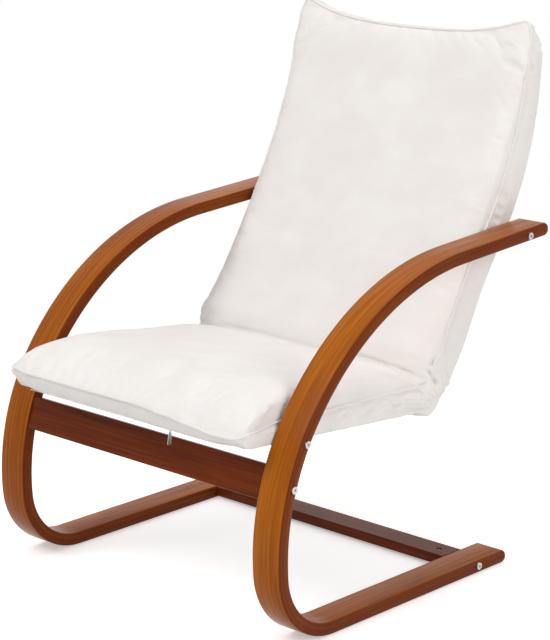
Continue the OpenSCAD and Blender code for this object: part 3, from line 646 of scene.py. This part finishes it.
def ring_grid(rings):
    """Points of all rings: the crowned top from -X to +X, the side, the underside, the side.

    The top's height is crown (1 - |u|^8)^(1/8), a superellipse that rolls over the seams; the
    underside is drawn up at its ends by |u|^8; the ears move a ring's ends along the path by
    |u|^3. Places across crowd towards the sides as u = 1 - (1 - |t|)^2.
    """
    low, high = rings[:, None, 0:2], rings[:, None, 2:4]
    half, crown, draw, ear = (rings[:, i, None] for i in (4, 5, 6, 7))
    span = high - low
    h = np.linalg.norm(span, axis=-1, keepdims=True)
    e = span / h
    side = np.stack([e[..., 1], -e[..., 0]], -1)
    t = np.linspace(-1, 1, ACROSS)
    u = (np.sign(t) * (1 - (1 - np.abs(t)) ** 2))[None]
    roll = (1 - np.abs(u) ** ROLL_POWER) ** (1 / ROLL_POWER)
    top_yz = high + e * (crown * roll)[..., None] \
        + side * (ear * np.abs(u) ** 3)[..., None]
    drawn = draw * np.where(u < 0, DRAW_LEFT, DRAW_RIGHT) * np.abs(u) ** 8
    low_yz = low + e * drawn[..., None] + side * (ear * np.abs(u) ** 3)[..., None]
    middle = low + e * np.minimum(h * 0.62, FRAME_RISE) + side * ear[..., None]
    drawn_in = e * np.minimum(draw[..., None], h * 0.3)
    top = np.concatenate([(u * (half - SEAM_IN))[..., None], top_yz], -1)
    right = np.concatenate([half[..., None], middle + DRAW_RIGHT * 0.5 * drawn_in], -1)
    bottom = np.concatenate([(u * half)[..., None], low_yz], -1)[:, ::-1]
    left = np.concatenate([-half[..., None], middle + DRAW_LEFT * 0.5 * drawn_in], -1)
    grid = np.concatenate([top, right, bottom, left], 1)
    return rounded_corners(dipped_corner(sagging_front(grid)))


RINGS = cushion_rings(0.0)
print("rings of the cushion:", len(RINGS))

# %% [markdown]
# ## Filling the cushion
# A sewn cover never lies perfectly smooth: the cloth is a little larger than the padding, and it
# buckles where a seam holds it. So the cushion is remeshed into even quads, and Blender's cloth
# blows it up gently while its seams, its crease and the places where bolts clamp it stay put.


# %% From rings to an even mesh
def closed_cushion(rings):
    """The rings' grid with both ends closed by quads from the top row to the bottom row."""
    cols = 2 * ACROSS + 2
    last = (len(rings) - 1) * cols
    faces = grid_faces(len(rings), cols, True).tolist()
    ends = [[j, j + 1, 2 * ACROSS - j - 1, 2 * ACROSS - j] for j in range(ACROSS - 1)]
    ends += [[ACROSS - 1, ACROSS, ACROSS + 1], [0, 2 * ACROSS, 2 * ACROSS + 1]]
    faces += ends + [[last + j for j in f][::-1] for f in ends]
    obj = new_mesh("cushion", ring_grid(rings), faces)
    outward(obj)
    return obj


def as_array(items, key="co"):
    out = np.empty(len(items) * 3, np.float32)
    items.foreach_get(key, out)
    return out.reshape(-1, 3).astype(float)


def applied(obj):
    """Bakes an object's modifiers into its own mesh."""
    graph = bpy.context.evaluated_depsgraph_get()
    mesh = bpy.data.meshes.new_from_object(obj.evaluated_get(graph), depsgraph=graph)
    obj.modifiers.clear()
    old, obj.data = obj.data, mesh
    bpy.data.meshes.remove(old)


VOXEL = 0.0048
cushion = closed_cushion(cushion_rings(0.0008))
remesh = cushion.modifiers.new("even", "REMESH")
remesh.mode, remesh.voxel_size = "VOXEL", VOXEL
applied(cushion)
print("even mesh:", len(cushion.data.vertices), "points")


# %% Seam lines and the distance to them
SEAT_RINGS = int(np.sum(RINGS[:, 8] <= SEAT_LEN))
BACK_START = int(np.sum(RINGS[:, 8] <= BACK_FROM))
LINES = ring_grid(RINGS)
TOP_ROW, BOTTOM_ROW = np.arange(ACROSS), 2 * ACROSS - np.arange(ACROSS)  # from -X to +X


def panel_seam(first, last, end):
    """A sewn line up one side of the cushion, across its end ring and down the other side."""
    order = np.arange(first, last)
    order = order[::-1] if end == first else order
    return np.concatenate([LINES[order[:-1], 0], LINES[end, TOP_ROW],
                           LINES[order[::-1][1:], ACROSS - 1]])


LAST = len(RINGS) - 1
OVERRUN = 3  # rings by which each panel's seam runs on into the corner
cx = np.linspace(-0.268, 0.276, 136)
crease_dip = smooth_step(cx, *DIP_FROM)
CREASE_LINE = np.stack([cx, CREASE[0] + 0.0015 * np.sin(19 * cx) + DIP[0] * crease_dip,
                        CREASE[1] + 0.0012 * np.sin(31 * cx + 1.2) + DIP[1] * crease_dip
                        - 0.0035 * np.exp(-((cx - 0.15) / 0.035) ** 2)], -1)


def resampled(points, step):
    """Points every step along a line of points."""
    length = np.concatenate([[0], np.cumsum(np.linalg.norm(np.diff(points, axis=0), axis=1))])
    at = np.linspace(0, length[-1], max(2, int(length[-1] / step)))
    return np.stack([np.interp(at, length, points[:, i]) for i in range(3)], -1)


def spans_to(points, line, chunk=8000):
    """For each point the least distance to a line's points, and the number of the nearest.

    The square of the distance is |p|^2 - 2 p.q + |q|^2, which one matrix product gives.
    """
    out, at = np.empty(len(points)), np.empty(len(points), int)
    own = (line ** 2).sum(1)
    for i in range(0, len(points), chunk):
        d = own - 2 * points[i:i + chunk] @ line.T
        at[i:i + chunk] = d.argmin(1)
        nearest = d[np.arange(len(d)), at[i:i + chunk]] + (points[i:i + chunk] ** 2).sum(1)
        out[i:i + chunk] = np.sqrt(np.maximum(nearest, 0))
    return out, at


base = as_array(cushion.data.vertices)
SEAMS = {name: resampled(line, 0.004) for name, line in (
    ("seat", panel_seam(0, SEAT_RINGS + OVERRUN, 0)),
    ("back", panel_seam(BACK_START - OVERRUN, LAST + 1, LAST)),
    ("front", LINES[0, BOTTOM_ROW]), ("rear", LINES[LAST, BOTTOM_ROW]), ("crease", CREASE_LINE),
    ("lower_left", LINES[:, 2 * ACROSS]), ("lower_right", LINES[:, ACROSS + 1]))}
to_seam = {name: spans_to(base, line)[0] for name, line in SEAMS.items()}
print({name: round(float(d.min()), 4) for name, d in to_seam.items()})

# %% [markdown]
# The cloth's pins: 1 holds a point, 0 lets it go. Seams hold within a few millimetres, each
# bolt clamps a disc of cloth, and the strip that carries the zip stays flat.


# %% Pins and slack of the cover
def fade(d, near, far):
    """1 below near, 0 past far, and a smooth step between."""
    return smooth_step(-d, -far, -near)


SEAT_BOLT = np.array([-0.0612519 - SHIFT_Y, 0.3249])
ARM_BOLT = np.array([0.481448 - SHIFT_Y, 0.559063])
ZIP_POINT = off_path(INNER_PATH, np.array(0.006), np.array(UNDER_N))
TILT = math.radians(4.5)
SEAT_DIR = np.array([math.cos(TILT), -math.sin(TILT)])
SEAT_UP = np.array([math.sin(TILT), math.cos(TILT)])
ZIP_HALF, CLAMP = (0.013, 0.019), (0.008, 0.014)
to_bolt = {name: np.hypot(*(base[:, 1:] - b).T) for name, b in (("seat", SEAT_BOLT),
                                                               ("arm", ARM_BOLT))}
from_side = CUSHION_HALF - np.abs(base[:, 0])
at_side = fade(from_side, 0.008, 0.011)
zip_strip = fade(np.abs((base[:, 1:] - ZIP_POINT) @ SEAT_DIR), *ZIP_HALF) \
    * ((base[:, 1:] - ZIP_POINT) @ SEAT_UP < 0.004) * (base[:, 1] < -0.30)
hold = np.maximum.reduce(
    [fade(to_seam[name], 0.003, 0.006) for name in SEAMS if name != "crease"]
    + [fade(to_seam["crease"], 0.005, 0.010), zip_strip]
    + [fade(d, *CLAMP) * at_side for d in to_bolt.values()])
REAR_CORNER = off_path(INNER_PATH, np.array(SEAT_LEN), np.array(0.010))
slack = np.maximum.reduce([
    fade(np.hypot(*((base[:, 1:] - REAR_CORNER) / [1.0, 0.5]).T), 0.09, 0.20) * at_side,
    fade(to_bolt["arm"], 0.05, 0.12) * fade(from_side, 0.03, 0.07),
    fade(np.abs(to_seam["seat"] - 0.012), 0.006, 0.03) * 0.5,
    fade(np.abs(to_seam["back"] - 0.012), 0.006, 0.03) * 0.5])
print("held points:", int((hold > 0.9).sum()), "slack points:", int((slack > 0.5).sum()))


# %% Blow the cover up
def weights(obj, name, values):
    """A vertex group with ten levels of weight."""
    group = obj.vertex_groups.new(name=name)
    levels = np.round(values, 1)
    for level in np.unique(levels[levels > 0]):
        group.add(np.nonzero(levels == level)[0].tolist(), float(level), "REPLACE")


def blown_up(obj, frames, pressure, growth, most):
    """Runs cloth on the object and returns where its points end up."""
    cloth = obj.modifiers.new("cloth", "CLOTH")
    s = cloth.settings
    s.quality, s.mass = 6, 0.25
    s.tension_stiffness = s.compression_stiffness = 18
    s.shear_stiffness, s.bending_stiffness = 6, 0.35
    s.tension_damping = s.compression_damping = s.shear_damping = 8
    s.use_pressure, s.uniform_pressure_force = True, pressure
    s.vertex_group_mass, s.pin_stiffness = "held", 1.0
    s.vertex_group_shrink = "slack"
    s.shrink_min, s.shrink_max = -growth, -most
    s.effector_weights.gravity = 0.0
    cloth.collision_settings.use_collision = False
    cloth.collision_settings.use_self_collision = False
    cloth.point_cache.frame_start, cloth.point_cache.frame_end = 1, frames
    for number in range(1, frames + 1):
        bpy.context.scene.frame_set(number)
    graph = bpy.context.evaluated_depsgraph_get()
    moved = as_array(obj.evaluated_get(graph).to_mesh().vertices)
    obj.modifiers.clear()
    bpy.context.scene.frame_set(1)
    return moved


normals = as_array(cushion.data.vertex_normals, "vector")
weights(cushion, "held", hold)
weights(cushion, "slack", slack)
FRAMES = 20
shift = blown_up(cushion, FRAMES, pressure=3.0, growth=0.012, most=0.055) - base
print("cloth moved by up to", round(float(np.linalg.norm(shift, axis=1).max()), 4))

# %% [markdown]
# What the cloth did is now limited, because padding gives only a little. The side frames pass
# the cushion at 0.3 mm, so there the cloth may not bulge sideways; and inside it lies the inner
# frame, so there the cloth may not sink.

# %% Limit the result
CAP, SINK = 0.0075, 0.0006  # how far a point may move, and how far inwards over the frame
SIDE_BULGE, STRIP_NEAR = 0.0170, (0.025, 0.090)
along = np.linspace(-NOSE_LEN, INNER_LEN + TOP_LEN, 320)
line_yz, _, line_normal = along_path(INNER_PATH, along)
strip_line = off_path(SIDE_PATH, np.linspace(0, SIDE_LEN, 160), np.zeros(160))


def over_line(points):
    """The nearest sample of the inner frame's line to each point, and the height over it."""
    _, at = spans_to(points[:, 1:], line_yz)
    return at, ((points[:, 1:] - line_yz[at]) * line_normal[at]).sum(1)


def kept_off_strips(points, room=0.0):
    """Keeps |x| within a limit that grows with the distance from the side frame's strip."""
    out = points.copy()
    wide = np.nonzero(np.abs(points[:, 0]) > CUSHION_HALF - room)[0]
    to_strip, _ = spans_to(points[wide, 1:], strip_line)
    limit = CUSHION_HALF - room + SIDE_BULGE * (1 - fade(to_strip, *STRIP_NEAR))
    out[wide, 0] = np.clip(points[wide, 0], -limit, limit)
    return out


_, height = over_line(base)
may_sink = mix(SINK, CAP, 1 - fade(height, 0.012, 0.020))
reach = np.linalg.norm(shift, axis=1)
shift *= (CAP * np.tanh(reach / CAP) / np.maximum(reach, 1e-9))[:, None]
sunk = (shift * normals).sum(1)
shift += normals * (np.maximum(sunk, -may_sink) - sunk)[:, None]


def put(obj, points):
    obj.data.vertices.foreach_set("co", points.astype(np.float32).reshape(-1))
    obj.data.update()


put(cushion, kept_off_strips(base + shift))
cushion.vertex_groups.clear()
subdivide = cushion.modifiers.new("fine", "SUBSURF")
subdivide.levels = subdivide.render_levels = 1
applied(cushion)
fine = as_array(cushion.data.vertices)
print("cloth may sink by up to", round(float(may_sink.max()), 4), "fine points:", len(fine))

# %% [markdown]
# ## Folds that the photograph shows
# Some folds have a reason and a place: the cover is pinched where the arms' bolts clamp it, it
# crumples where seat and back meet at the side, where the padding also bulges out, and its upper
# corners are turned over. Each fold is a valley between two low ridges along a short line, a
# displacement along the normal.


# %% Listed folds
def fold(points, start, end, depth, width):
    """Height of a fold at each point: a valley exp(-(d/w)^2) between ridges at 1.7 w.

    It fades out towards both ends of the line from start to end.
    """
    start, end = np.asarray(start, float), np.asarray(end, float)
    axis, out, far = end - start, np.zeros(len(points)), 5 * width
    low, high = np.minimum(start, end) - far, np.maximum(start, end) + far
    near = np.nonzero(((points > low) & (points < high)).all(1))[0]
    t = np.clip((points[near] - start) @ axis / (axis @ axis), 0, 1)
    d = np.linalg.norm(points[near] - start - t[:, None] * axis, axis=1)
    ends = np.sin(np.pi * np.clip(0.12 + 0.88 * t, 0, 1)) ** 0.7
    shape = np.exp(-(d / width) ** 2) - 0.55 * np.exp(-((d - 1.7 * width) / width) ** 2)
    out[near] = -depth * shape * ends
    return out


def at_path(x, d, n):
    """A place by its x, its distance along the inner frame's line and its height over it."""
    y, z = off_path(INNER_PATH, np.array(d), np.array(n))
    return [x, y, z]


ARM_D, TOP_D = BACK_FROM + INNER_SEGMENTS[2][0], INNER_LEN + TOP_LEN
# Crumples of the seat's side, in millimetres: place along and height of both ends, depth and
# half width
CRUMPLES = ((351, 15.8, 425, -2, 6.7, 4.2), (310, 27.5, 343, 12, 4.9, 4),
            (395, 31, 408, 6, 4.9, 4.6), (330, 33, 322, 21, 3.6, 3.6),
            (378, 32, 372, 18, 3.9, 3.4), (255, 6, 285, 16.5, 4.3, 4),
            (292, 4, 345, 16, 5.4, 4.6), (420, 30, 432, 0, 4.5, 4.4),
            (362, 24, 402, 14, 3.9, 3.4), (200, 8, 228, 20, 2.9, 4))
FOLDS = []
for side in (1, -1):
    x = side * CUSHION_HALF
    # pinched by the arm's bolt: creases that run from the side into the front panel
    FOLDS += [(at_path(x, ARM_D + a, 0.020), at_path(x - side * 0.055, ARM_D + b, 0.053), d, w)
              for a, b, d, w in ((0.030, 0.046, 0.0026, 0.0050), (0.012, 0.016, 0.0030, 0.0045),
                                 (-0.006, -0.020, 0.0024, 0.0050), (0.052, 0.082, 0.0016, 0.007))]
    # crumpled boxing of the seat towards its rear corner
    FOLDS += [(at_path(x, a, n), at_path(x, b, m), d, w)
              for a, n, b, m, d, w in 0.001 * np.array(CRUMPLES)]
    # short folds where the crease runs out at the side
    FOLDS += [([x - side * a, CREASE[0] + b, CREASE[1] + c], [x - side * e, CREASE[0] + f,
               CREASE[1] + g], d, w)
              for a, b, c, e, f, g, d, w in
              ((0.000, 0.010, 0.030, 0.022, -0.004, 0.004, 0.0030, 0.0045),
               (0.004, 0.022, 0.052, 0.010, 0.002, 0.010, 0.0022, 0.0050),
               (0.030, -0.020, -0.002, 0.085, -0.012, 0.001, 0.0018, 0.0060))]
    # the fold that runs from the crease down round the rear corner
    FOLDS += [(at_path(x, 0.487, 0.029), at_path(x, 0.465, 0.007), 0.0050, 0.0040),
              (at_path(x, 0.466, 0.010), at_path(x, 0.455, -0.022), 0.0042, 0.0040)]
    # turned-over upper corners
    FOLDS += [(at_path(x - side * 0.001, TOP_D - 0.050, 0.012), at_path(x - side * 0.038,
               TOP_D - 0.028, 0.018), 0.0046, 0.0052),
              (at_path(x - side * 0.012, TOP_D - 0.075, 0.022), at_path(x - side * 0.030,
               TOP_D - 0.030, 0.016), 0.0024, 0.0060)]
CREASE_DEPTH, CREASE_WIDTH, CREASE_MIDDLE = 0.010, 0.0026, 115.5
SEAM_DEPTH, SEAM_WIDTH = 0.0018, 0.0045
# Where the side's padding bulges out: side, amount, the heights where it begins and is full, and
# the places where it begins, is full, is full for the last time and ends
BULGES = ((1, 0.0105, -0.010, 0.010, 0.30, 0.39, 0.44, 0.48),
          (1, 0.0100, -0.030, -0.013, 0.42, 0.47, 0.51, 0.66),
          (-1, 0.0045, -0.010, 0.010, BACK_FROM + 0.16, BACK_FROM + 0.28, INNER_LEN - 0.12,
           INNER_LEN + 0.01))
fine_normals = as_array(cushion.data.vertex_normals, "vector")
to_welt = np.minimum(*(spans_to(fine, resampled(SEAMS[name], 0.003))[0]
                       for name in ("seat", "back")))
# the crease's valley runs along a wavy line, seen along the middle direction of its two sides
middle = math.radians(CREASE_MIDDLE)
from_crease = np.stack([fine[:, i] - np.interp(fine[:, 0], cx, CREASE_LINE[:, i])
                        for i in (1, 2)], -1)
across_it = from_crease @ np.array([math.sin(middle), -math.cos(middle)])
above_it = from_crease @ np.array([math.cos(middle), math.sin(middle)])
valley = np.exp(-(across_it / CREASE_WIDTH) ** 2) * (above_it > -0.004) \
    * fade(above_it, 0.014, 0.022) * fade(-fine[:, 0], 0.256, 0.268) \
    * fade(fine[:, 0], 0.274, 0.282)
flat = fine.copy()
flat[:, 0] = np.clip(fine[:, 0], -CUSHION_HALF, CUSHION_HALF)
by_hand = np.clip(sum(fold(flat, *f) for f in FOLDS), -0.008, 0.004)
by_hand -= SEAM_DEPTH * np.exp(-(to_welt / SEAM_WIDTH) ** 2) + CREASE_DEPTH * valley
to_arm_bolt = np.hypot(*(fine[:, 1:] - ARM_BOLT).T)
by_hand *= 1 - fade(to_arm_bolt, 0.006, 0.012) \
    * fade(CUSHION_HALF - np.abs(fine[:, 0]), 0.008, 0.011)
result = fine + fine_normals * by_hand[:, None]
at, height = over_line(fine)
for side, amount, low, high, begins, full, until, ends in BULGES:
    swell = smooth_step(along[at], begins, full) * (1 - smooth_step(along[at], until, ends)) \
        * smooth_step(height, low, high) * (1 - 0.35 * smooth_step(height, 0.020, 0.045))
    result[:, 0] += side * amount * swell * fade(CUSHION_HALF - side * fine[:, 0], 0.006, 0.045)
result = kept_off_strips(result)
print("folds:", len(FOLDS))


# %% Finish the cushion
FRAME_SIDE, FRAME_UNDER, MARGIN = 0.2694, 0.0100, 0.0009


def clear_of_frame(points):
    """Keeps the cover's points outside the inner frame, with a margin beside and below it.

    Near the frame's lower corner the sum of the two distances stays positive, so that the mesh
    doesn't cut the corner between two points.
    """
    out = points.copy()
    at, n = over_line(points)
    wide = np.abs(points[:, 0])
    inside = (along[at] > -0.002) & (along[at] < INNER_LEN + 0.002)
    beside = inside & (np.abs(n) < FRAME_UNDER + MARGIN) & (wide > FRAME_SIDE - 0.007)
    wide = np.where(beside, np.maximum(wide, FRAME_SIDE + MARGIN), wide)
    under = inside & (n < -0.006) & (wide < FRAME_SIDE + MARGIN)
    low = np.where(under, np.maximum(-n, FRAME_UNDER + MARGIN), -n)
    a, b = wide - FRAME_SIDE, low - FRAME_UNDER
    corner = inside & (n < 0) & (np.minimum(a, b) > -0.0028)
    push = np.where(corner, np.maximum(0, 0.0004 - (a + b)) / 2, 0)
    out[:, 0] = np.sign(points[:, 0]) * (wide + push)
    out[:, 1:] -= (low + push + n)[:, None] * line_normal[at]
    return out


put(cushion, clear_of_frame(result))
cushion.data.polygons.foreach_set("use_smooth", [True] * len(cushion.data.polygons))
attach(cushion, "chair")
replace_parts(cushion, "seat_cover", "back_cover", "seat_foam", "back_foam")
dress(cushion, CANVAS)
print("cushion:", len(cushion.data.polygons), "faces")

# %% [markdown]
# ## Sewn seams
# Where two panels meet, the seam allowance inside lifts the cloth into a thin rounded ridge. A
# slim tube along the seam's own line, pulled onto the finished cloth, is crisper than a sculpted
# ridge. Its ends taper away.

# %% Seam ridges
TREE = BVHTree.FromPolygons([v.co.copy() for v in cushion.data.vertices],
                            [tuple(p.vertices) for p in cushion.data.polygons])


def on_cloth(points, lift):
    """Each point moved to the nearest place on the cushion, and lifted along its normal."""
    out = []
    for p in points:
        place, normal, _, _ = TREE.find_nearest(Vector(p))
        out.append(place + normal * lift)
    return np.array(out)


def smoothed(points, times):
    """Each inner point becomes the mean of itself and its neighbours, several times."""
    p = points.copy()
    for _ in range(times):
        p[1:-1] = (p[:-2] + 2 * p[1:-1] + p[2:]) / 4
    return p


for name, radius in (("seat", 0.0023), ("back", 0.0023), ("front", 0.0014), ("rear", 0.0016)):
    line = smoothed(on_cloth(resampled(SEAMS[name], 0.004), 0.0010), 2)
    number = np.arange(len(line))
    taper = np.clip((0.6 + np.minimum(number, number[::-1])) / 3, 0, 1)
    ridge = tube(f"seam_{name}", kept_off_strips(line, radius), radius * taper, 10)
    dress(ridge, WELT)
    print(ridge.name, len(line), "points")

# %% [markdown]
# ## Floor, light and camera
# The chair stands on a plain white floor without an edge. The light is soft: large lamps in
# front, beside and above, and an even white world, so that colours show about as they are
# written. The camera's lens and place follow from a fit to the frame's edges and bolts.


# %% Floor and world
def camera_sees(nodes, plain, seen):
    """Chooses between two shaders: what lights the scene, and what camera and mirrors see."""
    path = nodes.add("ShaderNodeLightPath").outputs
    either = nodes.add("ShaderNodeMath", {0: path["Is Camera Ray"], 1: path["Is Glossy Ray"]},
                       operation="MAXIMUM").outputs[0]
    return nodes.add("ShaderNodeMixShader", {0: either, 1: plain, 2: seen}).outputs[0]


world = bpy.data.worlds.new("studio")
bpy.context.scene.world = world
world.use_nodes = True
studio = Nodes(world.node_tree)
studio.tree.nodes.clear()
light = studio.add("ShaderNodeBackground", {0: (1.0, 0.985, 0.97, 1), 1: 0.42}).outputs[0]
white = studio.add("ShaderNodeBackground", {0: (1, 1, 1, 1), 1: 1.0}).outputs[0]
studio.add("ShaderNodeOutputWorld", {0: camera_sees(studio, light, white)})

FLOOR_HALF, FLOOR_Z = 9.0, -0.0008
floor = new_mesh("floor", np.array([[x * FLOOR_HALF, y * FLOOR_HALF, FLOOR_Z] for x, y in
                                    ((-1, -1), (1, -1), (1, 1), (-1, 1))]), [[0, 1, 2, 3]])
paint = Finish("floor_paint", Roughness=0.9, Base_Color=(0.9, 0.9, 0.9, 1))
lit = paint.shader.outputs[0]
glow = paint.add("ShaderNodeEmission", {0: (1, 1, 1, 1), 1: 0.40}).outputs[0]
far = paint.add("ShaderNodeEmission", {0: (1, 1, 1, 1), 1: 1.0}).outputs[0]
both = paint.add("ShaderNodeAddShader", {0: lit, 1: glow}).outputs[0]
distance = paint.add("ShaderNodeVectorMath", {0: paint.coordinates()},
                     operation="LENGTH").outputs["Value"]
fading = paint.add("ShaderNodeMixShader", {0: paint.between(distance, 0.75, 1.5), 1: both,
                                           2: far}).outputs[0]
paint.tree.links.new(camera_sees(paint, lit, fading),
                     paint.tree.nodes["Material Output"].inputs[0])
floor.data.materials.append(paint.material)


# %% Lamps and camera
def lamp(name, place, target, size, power):
    """A square area lamp that looks at target."""
    data = bpy.data.lights.new(name, "AREA")
    data.shape, data.size, data.energy = "SQUARE", size, power
    obj = linked(name, data)
    obj.location = place
    obj.rotation_euler = (Vector(target) - Vector(place)).to_track_quat("-Z", "Y").to_euler()


lamp("key_lamp", (-0.9, -2.4, 3.2), (0, 0, 0.4), 1.8, 62)
lamp("side_lamp", (3.0, -0.6, 1.6), (0, 0, 0.4), 1.6, 36)
lamp("top_lamp", (0.2, 0.8, 3.4), (0, 0, 0.4), 2.2, 30)

camera_data = bpy.data.cameras.new("camera")
camera = linked("camera", camera_data)
RIGHT = Vector((0.7207476, 0.69312783, -0.00983412))
UP = Vector((-0.16656629, 0.18693974, 0.96814731))
BACK = Vector((0.67288823, -0.69615182, 0.2501881))
turn = Matrix((RIGHT, UP, BACK)).transposed().to_4x4()
camera.matrix_world = Matrix.Translation((2.521985, -2.395498 - SHIFT_Y, 1.347695)) @ turn
FOCAL_PIXELS, SENSOR, PICTURE = 2217.85, 36.0, 640
camera_data.sensor_fit, camera_data.sensor_width = "AUTO", SENSOR
camera_data.lens = FOCAL_PIXELS * SENSOR / PICTURE
camera_data.clip_end = 50
bpy.context.scene.camera = camera
bpy.context.scene.view_settings.view_transform = "Standard"
